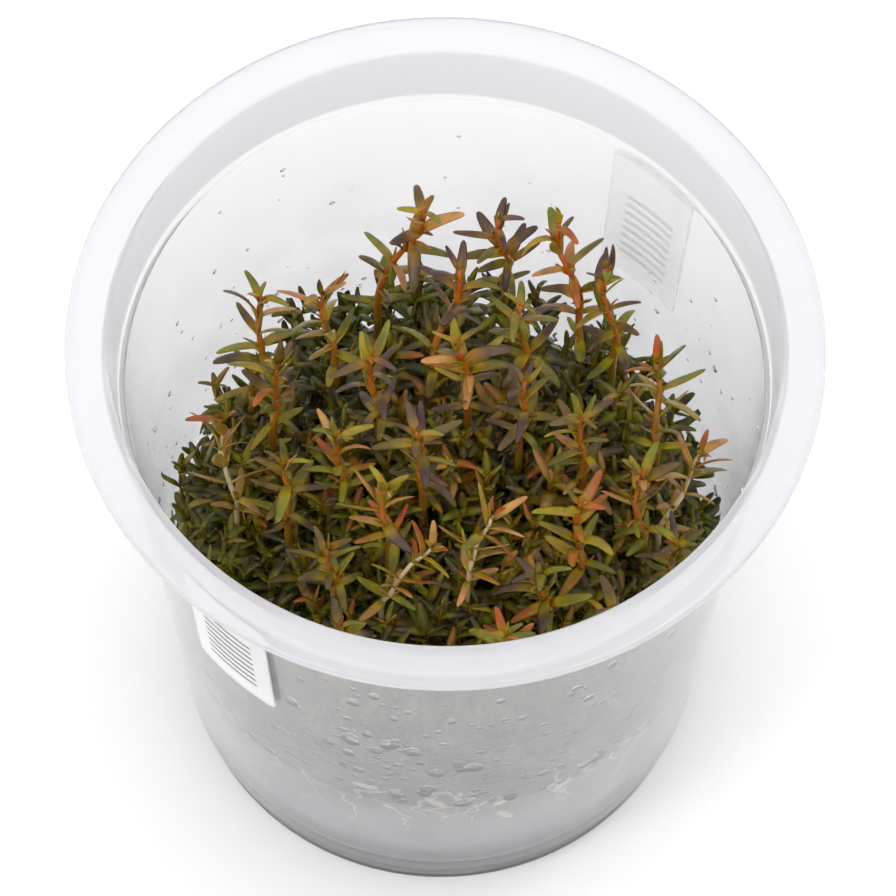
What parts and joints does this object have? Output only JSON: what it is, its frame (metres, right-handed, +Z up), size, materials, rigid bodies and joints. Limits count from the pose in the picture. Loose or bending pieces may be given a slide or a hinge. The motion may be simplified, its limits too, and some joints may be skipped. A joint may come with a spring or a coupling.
{
  "type": "tissue culture giant red rotala",
  "caption": "Tissue culture aquarium plant: leafy red and green stems growing on gel in an open, flanged, translucent cup.",
  "frame": {"origin": "centre of the foot ring's lower face, on the table", "axes": "+Z up along the cup's axis; -Y towards the side the picture is taken from"},
  "size_m": [0.095, 0.095, 0.092],
  "materials": {
    "cup": "thin translucent milky polypropylene, satin outside and glossy inside",
    "gel": "cloudy agar gel, wet surface",
    "label": "white coated paper, bare",
    "leaf": "olive green to brown red leaves with a waxy gloss",
    "shoots": "dark olive carpet of small leaves and pale stalks"
  },
  "bodies": {
    "root": {"cup": "cup", "culture_gel": "gel", "label_front": "label", "label_back": "label", "low_growth": "shoots", "stem_01": "leaf", "stem_02": "leaf", "stem_03": "leaf", "stem_04": "leaf", "stem_05": "leaf", "stem_06": "leaf", "stem_07": "leaf", "stem_08": "leaf", "stem_09": "leaf", "stem_10": "leaf", "stem_11": "leaf", "stem_12": "leaf", "stem_13": "leaf", "stem_14": "leaf", "stem_15": "leaf", "stem_16": "leaf", "stem_17": "leaf", "stem_18": "leaf", "stem_19": "leaf", "stem_20": "leaf", "stem_21": "leaf", "stem_22": "leaf", "stem_23": "leaf", "stem_24": "leaf", "stem_25": "leaf", "stem_26": "leaf", "stem_27": "leaf", "stem_28": "leaf", "stem_29": "leaf", "stem_30": "leaf"}
  },
  "joints": []
}
